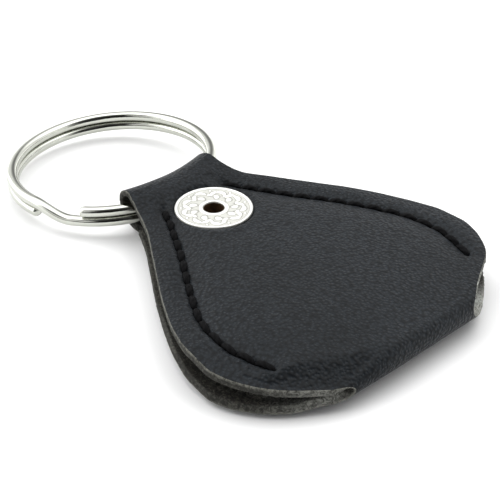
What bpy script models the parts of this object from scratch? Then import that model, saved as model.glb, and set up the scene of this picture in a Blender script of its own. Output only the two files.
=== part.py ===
"""Pick holder: a folded and sewn leather pouch for guitar picks, on a split ring.

All lengths below are in millimetres; the meshes are made in metres.
The pouch lies on its back: +Z is up, +Y points from the fold to the ring, X is across.
"""
import math

import bmesh
import bpy
import numpy as np

# ---------------------------------------------------------------- main sizes
MM = 0.001
Y_SNAP = -0.49            # the snap stands here, so that the part is centred on the origin
LEATHER = 1.3             # leather thickness
LAYER_GAP = 0.3           # space left between the two layers at the seam

# loop at the tip (y is measured from the snap)
LOOP_Y = 10.3
LOOP_Z = 4.3
LOOP_R = 3.8              # outer radius of the curl
HINGE_GAP = 0.15          # half of the cut between the curl and the closure tab

# fold at the wide end
FOLD_Y = -39.9
FOLD_Z = 3.8
FOLD_R = 2.15

# half widths of the blank, by distance from the snap
OUTLINE = [(10.3, 8.2), (8.5, 8.8), (7.0, 9.6), (5.0, 10.7), (3.0, 12.0), (0.0, 14.0),
           (-5.0, 17.2), (-10.0, 20.3), (-15.0, 22.8), (-20.0, 24.6), (-24.0, 25.4),
           (-27.5, 25.4), (-30.5, 24.6), (-33.5, 22.9), (-35.5, 21.2), (-37.2, 19.2),
           (-39.9, 15.2)]
FOLD_HALF = 12.2          # half width at the outermost line of the fold
CURL_HALF_OUT = 7.2       # half width of the curl at its outermost line
CURL_HALF_END = 6.9       # half width where the curl meets the closure tab

# seam lines, half distance by distance from the snap
SEAM = [(10.3, 4.4), (7.0, 5.3), (4.9, 6.3), (2.0, 8.0), (-1.0, 9.8), (-4.2, 11.6),
        (-7.3, 13.5), (-10.6, 15.6), (-13.6, 17.3), (-16.8, 18.9), (-20.0, 20.2),
        (-23.5, 20.9), (-26.5, 21.0), (-29.8, 20.4), (-33.7, 19.1), (-36.0, 17.2),
        (-39.9, 11.6)]
SEAM_TOP_Y = 4.9
SEAM_END_Y = -33.7
GROOVE_DEPTH = 0.25
GROOVE_HALF = 0.75

# heights along the middle of the pouch
FRONT_HEIGHT = [(10.3, 8.1), (8.4, 7.95), (6.6, 7.25), (4.8, 6.85), (0.0, 6.8),
                (-12.0, 7.0), (-27.0, 6.95), (-33.0, 6.6), (-37.5, 6.1), (-39.9, 5.95)]
BACK_HEIGHT = [(6.2, 2.7), (0.0, 2.65), (-8.8, 2.6), (-13.9, 0.15), (-20.0, 0.05),
               (-30.0, 0.05), (-35.0, 0.6), (-39.9, 1.65)]
SEAM_HEIGHT = [(10.3, 5.6), (6.5, 4.8), (4.9, 4.65), (0.0, 4.6), (-15.0, 4.3),
               (-30.0, 3.95), (-39.9, 3.8)]
EDGE_GAPE = [(10.3, 1.2), (6.0, 0.75), (0.0, 0.75), (-15.0, 0.9), (-30.0, 1.35),
             (-36.0, 1.2), (-39.9, 0.85)]

# thumb mouth cut into the back panel
MOUTH = [(7.5, 4.2), (5.0, 4.7), (0.0, 6.9), (-5.0, 8.3), (-9.0, 8.3), (-11.5, 7.4),
         (-12.9, 5.8)]
MOUTH_BOTTOM = -13.7
EAR_END = 6.2

# closure tab
TAB_HALF = 7.0
TAB_END = -8.6
TAB_HEIGHT = [(10.3, 0.5), (8.6, 0.62), (6.4, 0.93), (5.6, 0.95), (-8.6, 0.95)]

# snap fastener
FLANGE_R = 6.0
FLANGE_TOP = 6.72
RECESS_R = 6.2
RECESS_Z = 6.32
POST_BORE = 1.6
POST_R = 1.85
STUD_BORE = 1.95
CAP_POST_R = 1.1
SPRING_Z = 3.9
SPRING_WIRE = 0.3

# split ring
RING_R = 16.55            # centre line radius of the wire
WIRE_WIDE = 1.85          # across the ring
WIRE_HIGH = 1.65          # along the ring's axis
COIL_PITCH = 1.72
RING_BEHIND = 1.25        # the wire's centre line lies this far behind the loop's centre
RING_CLEAR = 1.0          # the loop holds the ring's far side this far above z = 0
RING_LOW_END = -173.0     # angles in degrees, round the ring from +X
CRANK_LOW = -151.0
CRANK_HIGH = -175.0
RING_HIGH_END = -144.0

# sewing
STITCHES = 15
THREAD_R = 0.3
STITCH_TURN = 0.36        # half distance of the two strands in one needle hole


# ---------------------------------------------------------------- helpers
def curve(table):
    """Smooth monotone curve through a short table of (position, value)."""
    pts = sorted(table)
    xs = [p[0] for p in pts]
    ys = [p[1] for p in pts]
    slopes = [(ys[i + 1] - ys[i]) / (xs[i + 1] - xs[i]) for i in range(len(xs) - 1)]
    tangents = [slopes[0]]
    for a, b in zip(slopes, slopes[1:]):
        tangents.append(0.0 if a * b <= 0.0 else 2.0 * a * b / (a + b))
    tangents.append(slopes[-1])

    def value(x):
        x = min(max(x, xs[0]), xs[-1])
        i = 0
        while i < len(xs) - 2 and x > xs[i + 1]:
            i += 1
        h = xs[i + 1] - xs[i]
        t = (x - xs[i]) / h
        a = (1.0 + 2.0 * t) * (1.0 - t) ** 2 * ys[i]
        b = t * (1.0 - t) ** 2 * h * tangents[i]
        c = t * t * (3.0 - 2.0 * t) * ys[i + 1]
        d = t * t * (t - 1.0) * h * tangents[i + 1]
        return a + b + c + d

    return value


outline_half = curve(OUTLINE)
seam_half = curve(SEAM)
front_height = curve(FRONT_HEIGHT)
back_height = curve(BACK_HEIGHT)
seam_height = curve(SEAM_HEIGHT)
edge_gape = curve(EDGE_GAPE)
mouth_half = curve(MOUTH)
tab_height = curve(TAB_HEIGHT)


def ease(t):
    t = min(max(t, 0.0), 1.0)
    return t * t * (3.0 - 2.0 * t)


def groove_strength(y):
    """1 along the sewn part of the seam line, fading to 0 past its ends."""
    return ease((y - SEAM_END_Y + 3.5) / 3.5) * ease((SEAM_TOP_Y + 3.0 - y) / 3.0)


def material(name, color, roughness, metallic):
    mat = bpy.data.materials.new(name)
    mat.use_nodes = True
    shader = mat.node_tree.nodes["Principled BSDF"]
    shader.inputs["Base Color"].default_value = (*color, 1.0)
    shader.inputs["Roughness"].default_value = roughness
    shader.inputs["Metallic"].default_value = metallic
    return mat


def add_object(name, verts, faces, mat, origin=(0.0, 0.0, 0.0), smooth=False):
    """Make one mesh object; verts in mm from the snap, origin in mm in the same frame."""
    mesh = bpy.data.meshes.new(name)
    placed = [((v[0] - origin[0]) * MM, (v[1] - origin[1]) * MM, (v[2] - origin[2]) * MM)
              for v in verts]
    mesh.from_pydata(placed, [], faces)
    bm = bmesh.new()
    bm.from_mesh(mesh)
    bmesh.ops.recalc_face_normals(bm, faces=bm.faces)
    bm.to_mesh(mesh)
    bm.free()
    mesh.polygons.foreach_set("use_smooth", [smooth] * len(mesh.polygons))
    obj = bpy.data.objects.new(name, mesh)
    obj.location = (origin[0] * MM, (origin[1] + Y_SNAP) * MM, origin[2] * MM)
    bpy.context.scene.collection.objects.link(obj)
    obj.data.materials.append(mat)
    return obj


def cut(obj, name, verts, faces):
    """Cut a closed shape out of obj with an exact Boolean."""
    cutter = add_object(name, verts, faces, obj.data.materials[0])
    cutter.hide_render = True
    cutter.display_type = "WIRE"
    mod = obj.modifiers.new(name, "BOOLEAN")
    mod.operation = "DIFFERENCE"
    mod.solver = "EXACT"
    mod.object = cutter


def grid_solid(outer, inner):
    """Closed solid between two equal grids of points (rows x columns x 3)."""
    rows, cols = outer.shape[:2]
    verts = [tuple(p) for p in outer.reshape(-1, 3)]
    verts += [tuple(p) for p in inner.reshape(-1, 3)]
    low = rows * cols
    faces = []
    for i in range(rows - 1):
        for j in range(cols - 1):
            a = i * cols + j
            quad = (a, a + 1, a + cols + 1, a + cols)
            faces.append(quad)
            faces.append(tuple(low + k for k in reversed(quad)))
    border = [j for j in range(cols)]
    border += [i * cols + cols - 1 for i in range(1, rows)]
    border += [(rows - 1) * cols + j for j in range(cols - 2, -1, -1)]
    border += [i * cols for i in range(rows - 2, 0, -1)]
    for a, b in zip(border, border[1:] + border[:1]):
        faces.append((b, a, low + a, low + b))
    return verts, faces


def offset_grid(grid, distance):
    """Move every grid point along the surface normal."""
    du = np.gradient(grid, axis=1)
    dv = np.gradient(grid, axis=0)
    normal = np.cross(du, dv)
    normal /= np.linalg.norm(normal, axis=2)[:, :, None]
    return grid + distance * normal


def lathe(profile, segments):
    """Closed ring swept round Z from a closed (radius, z) profile."""
    n = len(profile)
    verts = []
    for k in range(segments):
        a = 2.0 * math.pi * k / segments
        verts += [(r * math.cos(a), r * math.sin(a), z) for r, z in profile]
    faces = []
    for k in range(segments):
        here = k * n
        there = (k + 1) % segments * n
        for i in range(n):
            j = (i + 1) % n
            faces.append((here + i, there + i, there + j, here + j))
    return verts, faces


def solid_lathe(profile, segments):
    """Closed solid swept round Z; the first and last profile points lie on the axis."""
    ring = profile[1:-1]
    n = len(ring)
    verts = [(0.0, 0.0, profile[0][1]), (0.0, 0.0, profile[-1][1])]
    for k in range(segments):
        a = 2.0 * math.pi * k / segments
        verts += [(r * math.cos(a), r * math.sin(a), z) for r, z in ring]
    faces = []
    for k in range(segments):
        here = 2 + k * n
        there = 2 + (k + 1) % segments * n
        faces.append((0, there, here))
        faces.append((1, here + n - 1, there + n - 1))
        for i in range(n - 1):
            faces.append((here + i, there + i, there + i + 1, here + i + 1))
    return verts, faces


def sweep(points, ups, section):
    """Sweep a closed (side, up) section along points; ends closed flat."""
    pts = np.array(points, dtype=float)
    tangents = np.gradient(pts, axis=0)
    tangents /= np.linalg.norm(tangents, axis=1)[:, None]
    n = len(section)
    verts = []
    for p, t, u in zip(pts, tangents, ups):
        side = np.cross(t, np.array(u, dtype=float))
        side /= np.linalg.norm(side)
        up = np.cross(side, t)
        verts += [tuple(p + side * a + up * b) for a, b in section]
    faces = []
    for k in range(len(pts) - 1):
        for i in range(n):
            j = (i + 1) % n
            faces.append((k * n + i, k * n + j, (k + 1) * n + j, (k + 1) * n + i))
    faces.append(tuple(range(n)))
    faces.append(tuple(reversed([(len(pts) - 1) * n + i for i in range(n)])))
    return verts, faces


def oval(half_wide, half_high, count):
    return [(half_wide * math.cos(2.0 * math.pi * i / count),
             half_high * math.sin(2.0 * math.pi * i / count)) for i in range(count)]


# ---------------------------------------------------------------- leather body
def cross_positions(seam, edge):
    """Half-row of x positions from the middle to the edge, with lines beside the seam."""
    inner = [(seam - 2.0 * GROOVE_HALF) * f for f in (0.0, 0.25, 0.5, 0.72, 0.88, 1.0)]
    beside = [seam - GROOVE_HALF, seam, seam + GROOVE_HALF]
    rest = edge - seam - GROOVE_HALF
    outer = [seam + GROOVE_HALF + rest * f for f in (0.4, 0.75, 1.0)]
    return inner + beside + outer


def dome(x, seam):
    """0 in the middle of the panel, 1 at the seam line."""
    return min(abs(x) / seam, 1.0) ** 5


def panel_height(x, y, middle, side):
    """Grain side height of the front (side +1) or back (side -1) panel."""
    seam = seam_half(y)
    edge = outline_half(y)
    strength = groove_strength(y)
    floor = seam_height(y) + side * (LEATHER + 0.5 * LAYER_GAP)
    rim = seam_height(y) + side * (LEATHER + edge_gape(y))
    shoulder = floor + side * GROOVE_DEPTH
    distance = abs(x) - seam
    if distance <= 0.0:
        height = middle + (shoulder - middle) * dome(x, seam) * strength
        flat = middle + (rim - middle) * dome(x, edge)
        height = height * strength + flat * (1.0 - strength)
    else:
        t = ease(distance / (edge - seam))
        sewn = shoulder + (rim - shoulder) * t
        flat = middle + (rim - middle) * dome(x, edge)
        height = sewn * strength + flat * (1.0 - strength)
    dip = max(0.0, 1.0 - abs(distance) / GROOVE_HALF)
    return height - side * GROOVE_DEPTH * strength * dip


def leather_rows():
    """Rows of the leather's grain side, from the curl's end round to the ears' ends."""
    rows = []
    curl_steps = 14
    start = -90.0 + math.degrees(HINGE_GAP / LOOP_R)
    for k in range(curl_steps):
        a = start + (90.0 - start) * k / curl_steps
        if a < 0.0:
            half = CURL_HALF_END + (CURL_HALF_OUT - CURL_HALF_END) * ease((a + 90.0) / 90.0)
        else:
            half = CURL_HALF_OUT + (outline_half(LOOP_Y) - CURL_HALF_OUT) * a / 90.0
        y = LOOP_Y + LOOP_R * math.cos(math.radians(a))
        z = LOOP_Z + LOOP_R * math.sin(math.radians(a))
        scale = half / outline_half(LOOP_Y)
        xs = [x * scale for x in cross_positions(seam_half(LOOP_Y), outline_half(LOOP_Y))]
        rows.append([(x, y, z) for x in xs])
    front = [10.3, 9.3, 8.3, 7.2, 6.1, 5.0, 3.8, 2.5, 1.0, -0.8, -2.8, -5.0, -7.5, -10.0, -12.5,
             -15.0, -17.5, -20.0, -22.2, -24.4, -26.4, -28.4, -30.2, -32.0, -33.7, -35.3,
             -36.8, -38.3]
    for y in front:
        xs = cross_positions(seam_half(y), outline_half(y))
        middle = front_height(y)
        rows.append([(x, y, panel_height(x, y, middle, 1.0)) for x in xs])
    fold_steps = 10
    for k in range(fold_steps + 1):
        a = math.radians(90.0 + 180.0 * k / fold_steps)
        narrow = math.sin(math.pi * k / fold_steps)
        edge = outline_half(FOLD_Y)
        half = edge + (FOLD_HALF - edge) * narrow
        y = FOLD_Y + FOLD_R * math.cos(a)
        z = FOLD_Z + FOLD_R * math.sin(a)
        xs = [x * half / edge for x in cross_positions(seam_half(FOLD_Y), edge)]
        rows.append([(x, y, z) for x in xs])
    back = [y for y in reversed(front) if y < EAR_END] + [EAR_END]
    for y in back:
        xs = cross_positions(seam_half(y), outline_half(y))
        middle = back_height(y)
        rows.append([(x, y, panel_height(x, y, middle, -1.0)) for x in xs])
    full = []
    for row in rows:
        mirrored = [(-x, y, z) for x, y, z in reversed(row[1:])]
        full.append(mirrored + row)
    return np.array(full)


def mouth_cutter():
    """Prism that cuts the thumb mouth out of the back panel only."""
    ys = [7.5, 5.0, 2.5, 0.0, -2.5, -5.0, -7.0, -9.0, -10.4, -11.5, -12.3, -12.9]
    side = [(mouth_half(y), y) for y in ys]
    side += [(4.2, MOUTH_BOTTOM + 0.25), (2.2, MOUTH_BOTTOM)]
    outline = side + [(-x, y) for x, y in reversed(side)]
    return prism(outline, -1.0, 4.95)


def prism(outline, low, high):
    n = len(outline)
    verts = [(x, y, low) for x, y in outline] + [(x, y, high) for x, y in outline]
    faces = [tuple(range(n)), tuple(reversed(range(n, 2 * n)))]
    for i in range(n):
        j = (i + 1) % n
        faces.append((j, i, n + i, n + j))
    return verts, faces


def round_outline(radius, count):
    return [(radius * math.cos(2.0 * math.pi * i / count),
             radius * math.sin(2.0 * math.pi * i / count)) for i in range(count)]


def seam_line(side):
    """Points along one seam, from beside the snap to the wide end."""
    points = []
    steps = 400
    for k in range(steps + 1):
        y = SEAM_TOP_Y + (SEAM_END_Y - SEAM_TOP_Y) * k / steps
        points.append((side * seam_half(y), y))
    return points


def along(points, fraction):
    """Point, direction and height of the seam's middle plane at a fraction of its length."""
    lengths = [0.0]
    for a, b in zip(points, points[1:]):
        lengths.append(lengths[-1] + math.dist(a, b))
    target = fraction * lengths[-1]
    i = 0
    while i < len(points) - 2 and lengths[i + 1] < target:
        i += 1
    t = (target - lengths[i]) / (lengths[i + 1] - lengths[i])
    x = points[i][0] + t * (points[i + 1][0] - points[i][0])
    y = points[i][1] + t * (points[i + 1][1] - points[i][1])
    dx = points[i + 1][0] - points[i][0]
    dy = points[i + 1][1] - points[i][1]
    size = math.hypot(dx, dy)
    return (x, y), (dx / size, dy / size), seam_height(y)


def needle_holes():
    """One cutter shape holding the slot of every needle hole."""
    half_long = STITCH_TURN + THREAD_R + 0.1
    half_wide = THREAD_R + 0.09
    verts = []
    faces = []
    for side in (-1.0, 1.0):
        line = seam_line(side)
        for k in range(STITCHES + 1):
            (x, y), (dx, dy), mid = along(line, k / STITCHES)
            corners = []
            for a, b in ((-1, -1), (1, -1), (1, 1), (-1, 1)):
                corners.append((x + a * half_long * dx - b * half_wide * dy,
                                y + a * half_long * dy + b * half_wide * dx))
            block, sides = prism(corners, mid - 2.6, mid + 2.6)
            base = len(verts)
            verts += block
            faces += [tuple(base + i for i in face) for face in sides]
    return verts, faces


def build_leather_body(mat):
    outer = leather_rows()
    inner = offset_grid(outer, LEATHER)
    verts, faces = grid_solid(outer, inner)
    body = add_object("leather_body", verts, faces, mat)
    cut(body, "cut_mouth", *mouth_cutter())
    cut(body, "cut_recess", *prism(round_outline(RECESS_R, 48), RECESS_Z, 9.0))
    cut(body, "cut_post_hole", *prism(round_outline(POST_R + 0.1, 32), 4.9, 8.0))
    cut(body, "cut_needle_holes", *needle_holes())


# ---------------------------------------------------------------- closure tab
def build_closure_tab(mat):
    """Strap that goes on from the curl, under the snap, to a rounded end."""
    start = LOOP_Y - HINGE_GAP
    ys = [start, 8.5, 6.5, 4.5, 2.5, 0.8, -1.0, -2.6, -4.0, -5.2, -6.2, -7.0, -7.6, -8.1, -8.45,
          TAB_END]
    grid = []
    for y in ys:
        half = CURL_HALF_END + (TAB_HALF - CURL_HALF_END) * ease((start - y) / 8.0)
        bend = TAB_END + TAB_HALF - y
        if bend > 0.0:
            half = math.sqrt(max(TAB_HALF ** 2 - bend ** 2, 1.2 ** 2))
        z = tab_height(y)
        grid.append([(half * f, y, z) for f in
                     (-1.0, -0.8, -0.55, -0.3, 0.0, 0.3, 0.55, 0.8, 1.0)])
    outer = np.array(grid)
    inner = outer + np.array([0.0, 0.0, LEATHER])
    verts, faces = grid_solid(outer, inner)
    hinge = (0.0, start, tab_height(start))
    tab = add_object("closure_tab", verts, faces, mat, origin=hinge)
    cut(tab, "cut_cap_hole", *prism(round_outline(CAP_POST_R + 0.1, 24), 0.0, 4.0))


# ---------------------------------------------------------------- snap fastener
def flange_relief(r, a):
    """Raised flower-like relief on the snap's visible flange."""
    petals = 0.5 + 0.5 * math.cos(10.0 * a)
    band = math.exp(-((r - 4.3) / 0.75) ** 2)
    dots = 0.5 + 0.5 * math.cos(10.0 * a + math.pi)
    inner = math.exp(-((r - 3.05) / 0.45) ** 2)
    return 0.11 * (petals * band + 0.8 * dots * inner)


def build_snap_post(mat):
    """Hollow post with the patterned flange; its end is rolled out under the stud."""
    segments = 60
    top = [(POST_BORE + 0.12, 0.02), (2.0, 0.10), (2.3, 0.06), (2.55, -0.03), (2.8, 0.0),
           (3.05, 0.0), (3.35, 0.0), (3.7, 0.0), (4.0, 0.0), (4.3, 0.0), (4.65, 0.0),
           (5.0, 0.0), (5.3, -0.02), (5.5, 0.10), (5.75, 0.16)]
    under = [(FLANGE_R, FLANGE_TOP - 0.02), (FLANGE_R, FLANGE_TOP - 0.22),
             (FLANGE_R - 0.2, FLANGE_TOP - 0.37), (POST_R + 0.15, FLANGE_TOP - 0.37),
             (POST_R, FLANGE_TOP - 0.5), (POST_R, 3.05), (2.12, 2.98), (2.2, 2.86),
             (2.05, 2.74), (POST_BORE + 0.1, 2.74), (POST_BORE, 2.86),
             (POST_BORE, FLANGE_TOP - 0.1)]
    verts = []
    faces = []
    n = len(top) + len(under)
    for k in range(segments):
        a = 2.0 * math.pi * k / segments
        ring = [(r, FLANGE_TOP + lift + flange_relief(r, a)) for r, lift in top] + under
        verts += [(r * math.cos(a), r * math.sin(a), z) for r, z in ring]
    for k in range(segments):
        here = k * n
        there = (k + 1) % segments * n
        for i in range(n):
            j = (i + 1) % n
            faces.append((here + i, here + j, there + j, there + i))
    add_object("snap_post", verts, faces, mat, smooth=True)


def build_snap_stud(mat):
    """Stud clamped on the inner face of the front panel, head pointing down."""
    profile = [(STUD_BORE, 5.42), (4.7, 5.42), (4.85, 5.3), (4.8, 5.02), (4.6, 4.95),
               (2.35, 4.95), (2.2, 4.8), (2.2, 4.2), (2.2, 4.05), (2.42, 3.6), (2.45, 3.4),
               (2.3, 3.15), (2.15, 3.1), (STUD_BORE, 3.1)]
    verts, faces = lathe(profile, 40)
    add_object("snap_stud", verts, faces, mat, smooth=True)


def build_snap_socket(mat):
    """Cup on the inner face of the tab; the stud's head enters through its top."""
    profile = [(1.3, 2.32), (4.9, 2.32), (5.15, 2.5), (5.2, 2.8), (5.2, 4.3), (5.0, 4.55),
               (4.7, 4.62), (2.85, 4.62), (2.78, 4.5), (2.85, 4.36), (4.75, 4.36),
               (4.9, 4.2), (4.9, 2.9), (4.7, 2.62), (1.3, 2.62)]
    verts, faces = lathe(profile, 48)
    add_object("snap_socket", verts, faces, mat, smooth=True)


def build_snap_spring(mat):
    """Split wire ring with two flat sides that grip the stud's neck."""
    points = []
    ups = []
    for k in range(49):
        a = math.radians(100.0 + 340.0 * k / 48)
        reach = 4.5
        if abs(math.cos(a)) > 1e-6:
            reach = min(reach, 2.55 / abs(math.cos(a)))
        points.append((reach * math.cos(a), reach * math.sin(a), SPRING_Z))
        ups.append((0.0, 0.0, 1.0))
    smoothed = [points[0]]
    for before, here, after in zip(points, points[1:], points[2:]):
        smoothed.append(tuple((b + 2.0 * h + f) / 4.0
                              for b, h, f in zip(before, here, after)))
    smoothed.append(points[-1])
    verts, faces = sweep(smoothed, ups, oval(SPRING_WIRE, SPRING_WIRE, 6))
    add_object("snap_spring", verts, faces, mat, smooth=True)


def build_snap_cap(mat):
    """Cap on the outside of the tab with its post riveted through the socket."""
    profile = [(0.0, 0.0), (4.6, 0.0), (5.2, 0.1), (5.52, 0.35), (5.6, 0.6), (5.5, 0.82),
               (5.3, 0.9), (CAP_POST_R, 0.9), (CAP_POST_R, 2.72), (1.62, 2.74), (1.62, 2.86),
               (1.1, 2.95), (0.0, 2.95)]
    verts, faces = solid_lathe(profile, 48)
    add_object("snap_cap", verts, faces, mat, smooth=True)


# ---------------------------------------------------------------- split ring
def ring_tilt():
    """Angle by which the ring slopes down from the loop to its far side."""
    reach = 2.0 * RING_R - RING_BEHIND
    stack = 0.5 * (COIL_PITCH + WIRE_HIGH)
    tilt = 0.0
    for _ in range(20):
        tilt = math.asin((LOOP_Z - RING_CLEAR - stack * math.cos(tilt)) / reach)
    return tilt


def build_split_ring(mat):
    tilt = ring_tilt()
    centre = RING_R - RING_BEHIND
    lower = 360.0 - (CRANK_LOW - RING_LOW_END)
    crank = CRANK_LOW - CRANK_HIGH
    upper = 360.0 - (RING_HIGH_END - CRANK_HIGH)
    sweep_angle = lower + crank + upper
    steps = 110
    points = []
    ups = []
    axis = (0.0, math.sin(tilt), math.cos(tilt))
    for k in range(steps + 1):
        run = sweep_angle * k / steps
        a = math.radians(RING_LOW_END - run)
        lift = COIL_PITCH * (ease((run - lower) / crank) - 0.5)
        flat_x = RING_R * math.cos(a)
        flat_y = centre + RING_R * math.sin(a)
        y = LOOP_Y + flat_y * math.cos(tilt) + lift * axis[1]
        z = LOOP_Z - flat_y * math.sin(tilt) + lift * axis[2]
        points.append((flat_x, y, z))
        ups.append(axis)
    verts, faces = sweep(points, ups, oval(0.5 * WIRE_WIDE, 0.5 * WIRE_HIGH, 8))
    add_object("split_ring", verts, faces, mat, origin=(0.0, LOOP_Y, LOOP_Z), smooth=True)


# ---------------------------------------------------------------- sewing thread
def build_seam_thread(name, side, face, mat):
    """One continuous thread; it turns back in every needle hole at the middle plane."""
    line = seam_line(side)
    seam_length = sum(math.dist(a, b) for a, b in zip(line, line[1:]))
    points = []
    surface = LEATHER + 0.5 * LAYER_GAP + THREAD_R + 0.05
    for k in range(STITCHES + 1):
        stops = []
        if k > 0:
            stops += [(-STITCH_TURN - 0.1, surface), (-STITCH_TURN, 0.62)]
        stops.append((0.0, 0.42))
        if k < STITCHES:
            stops += [(STITCH_TURN, 0.62), (STITCH_TURN + 0.1, surface)]
        for offset, height in stops:
            (x, y), _, mid = along(line, k / STITCHES + offset / seam_length)
            points.append((x, y, mid + face * height))
        if k < STITCHES:
            (x, y), _, mid = along(line, (k + 0.5) / STITCHES)
            points.append((x, y, mid + face * (surface + 0.05)))
    pts = np.array(points)
    tangents = np.gradient(pts, axis=0)
    ups = [(-t[1] * side, t[0] * side, 0.0) for t in tangents]
    verts, faces = sweep(points, ups, oval(THREAD_R, THREAD_R, 6))
    add_object(name, verts, faces, mat, smooth=True)


# ---------------------------------------------------------------- build
def main():
    for obj in list(bpy.data.objects):
        bpy.data.objects.remove(obj, do_unlink=True)
    leather = material("leather", (0.030, 0.034, 0.038), 0.55, 0.0)
    nickel = material("bright_nickel", (0.78, 0.76, 0.72), 0.18, 1.0)
    satin = material("satin_nickel", (0.70, 0.69, 0.66), 0.35, 1.0)
    steel = material("spring_steel", (0.55, 0.55, 0.56), 0.30, 1.0)
    thread = material("black_thread", (0.012, 0.012, 0.014), 0.75, 0.0)
    build_leather_body(leather)
    build_closure_tab(leather)
    build_snap_post(satin)
    build_snap_stud(nickel)
    build_snap_socket(nickel)
    build_snap_spring(steel)
    build_snap_cap(nickel)
    build_split_ring(nickel)
    for face, level in ((1.0, "top"), (-1.0, "bottom")):
        build_seam_thread("seam_thread_" + level + "_left", -1.0, face, thread)
        build_seam_thread("seam_thread_" + level + "_right", 1.0, face, thread)


main()
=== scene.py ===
"""Looks of the pick holder: sewn leather pouch, press stud and split ring on a pale floor."""
import math
import random

import bmesh
import bpy
import numpy as np
from mathutils import Matrix, Vector, noise


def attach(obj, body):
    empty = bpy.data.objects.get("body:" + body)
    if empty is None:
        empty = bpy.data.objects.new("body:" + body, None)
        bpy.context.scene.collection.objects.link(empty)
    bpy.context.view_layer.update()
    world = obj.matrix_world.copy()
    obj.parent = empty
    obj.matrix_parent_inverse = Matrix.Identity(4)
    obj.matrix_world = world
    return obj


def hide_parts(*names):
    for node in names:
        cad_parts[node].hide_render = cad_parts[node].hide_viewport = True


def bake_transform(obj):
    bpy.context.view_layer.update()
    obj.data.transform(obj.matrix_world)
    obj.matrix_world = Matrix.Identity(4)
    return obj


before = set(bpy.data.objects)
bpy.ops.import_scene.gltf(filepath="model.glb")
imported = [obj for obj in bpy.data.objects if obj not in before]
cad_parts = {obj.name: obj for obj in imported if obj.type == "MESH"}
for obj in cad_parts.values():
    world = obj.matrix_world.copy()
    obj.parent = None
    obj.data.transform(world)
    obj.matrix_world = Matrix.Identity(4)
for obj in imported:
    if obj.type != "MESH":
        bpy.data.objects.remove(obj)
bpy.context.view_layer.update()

# ---------------------------------------------------------------- sizes, in millimetres
MM = 0.001
Y_SNAP = -0.49            # place of the snap in the part's frame; all y below count from it
LEATHER = 1.3
LOOP_Y = 10.3
LOOP_Z = 4.3
LOOP_R = 3.8
FOLD_Y = -39.9
FOLD_Z = 3.8
FOLD_R = 2.15
FOLD_SQUASH = 0.80        # the fold is flatter than a half circle
OUTLINE = [(10.3, 8.2), (8.5, 8.8), (7.0, 9.6), (5.0, 10.7), (3.0, 12.0), (0.0, 14.0),
           (-5.0, 17.2), (-10.0, 20.3), (-15.0, 22.8), (-20.0, 24.6), (-24.0, 25.4),
           (-27.5, 25.4), (-30.5, 24.6), (-33.5, 22.9), (-35.5, 21.2), (-37.2, 19.2),
           (-39.9, 15.2)]
FOLD_HALF = 12.2
CURL_HALF_OUT = 7.2
CURL_HALF_END = 6.9
SEAM = [(10.3, 4.4), (7.0, 5.3), (4.9, 6.3), (2.0, 8.0), (-1.0, 9.8), (-4.2, 11.6),
        (-7.3, 13.5), (-10.6, 15.6), (-13.6, 17.3), (-16.8, 18.9), (-20.0, 20.2),
        (-23.5, 20.9), (-26.5, 21.0), (-29.8, 20.4), (-33.7, 19.1), (-36.0, 17.2),
        (-39.9, 11.6)]
SEAM_TOP_Y = 4.9
SEAM_END_Y = -33.7
FRONT_HEIGHT = [(10.3, 8.1), (8.4, 7.95), (6.6, 7.25), (4.8, 6.85), (0.0, 6.8),
                (-12.0, 7.0), (-27.0, 6.95), (-33.0, 6.6), (-37.5, 6.1), (-39.9, 5.95)]
BACK_HEIGHT = [(6.2, 2.7), (0.0, 2.65), (-8.8, 2.6), (-13.9, 0.15), (-20.0, 0.05),
               (-30.0, 0.05), (-35.0, 0.6), (-39.9, 1.65)]
SEAM_HEIGHT = [(10.3, 5.6), (6.5, 4.8), (4.9, 4.65), (0.0, 4.6), (-15.0, 4.3),
               (-30.0, 3.95), (-39.9, 3.8)]
EDGE_GAPE = [(10.3, 1.2), (6.0, 0.75), (0.0, 0.75), (-15.0, 0.9), (-30.0, 1.35),
             (-36.0, 1.2), (-39.9, 0.85)]
MOUTH = [(7.5, 4.2), (5.0, 4.7), (0.0, 6.9), (-5.0, 8.3), (-9.0, 8.3), (-11.5, 7.4),
         (-12.9, 5.8)]
MOUTH_BOTTOM = -13.7
EAR_END = 6.2
TAB_HALF = 7.0
TAB_END = -8.6
TAB_SPREAD = 0.43 * math.pi   # the tab's columns stand closer together near its edges
TAB_HEIGHT = [(10.3, 0.5), (8.6, 0.62), (6.4, 0.93), (5.6, 0.95), (-8.6, 0.95)]
SKIVED = 0.36             # the leather is thinned where it curls round the ring
TIP_BOW = 0.8             # how far the ring draws the middle of the tip's edge in
TIP_CORNER_LIFT = 0.75    # upward flare of the tip's right corner
RING_CLEAR = 1.0          # height of the ring's far side
RING_ROLL = -2.2          # the ring leans a little in the loop, in degrees
# the left side is drawn in a little beside the snap, and let out near the wide end
LEFT_PULL = [(9.0, 0.0), (5.0, 0.7), (0.0, 1.45), (-8.0, 1.45), (-14.0, 1.0), (-20.0, 0.25),
             (-24.0, -0.1), (-30.0, -0.45), (-36.0, -0.35), (-39.9, 0.0)]
# drop of the front panel's left rim near the fold: where it starts and how deep it gets
SAG_START = [(-24.0, 20.5), (-33.7, 19.3), (-36.0, 13.5), (-39.9, 4.0)]
SAG_DEPTH = [(-24.0, 0.0), (-29.0, 0.7), (-34.0, 1.25), (-39.9, 1.95)]
BACK_DROP = 0.55          # the back panel's left rim hangs lower near the wide end
RIGHT_NOTCH = 0.12        # part of the front's half width cut away at the fold's right end
BACK_PULL = 0.72          # share of the left side's pull that the back panel gets
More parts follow.
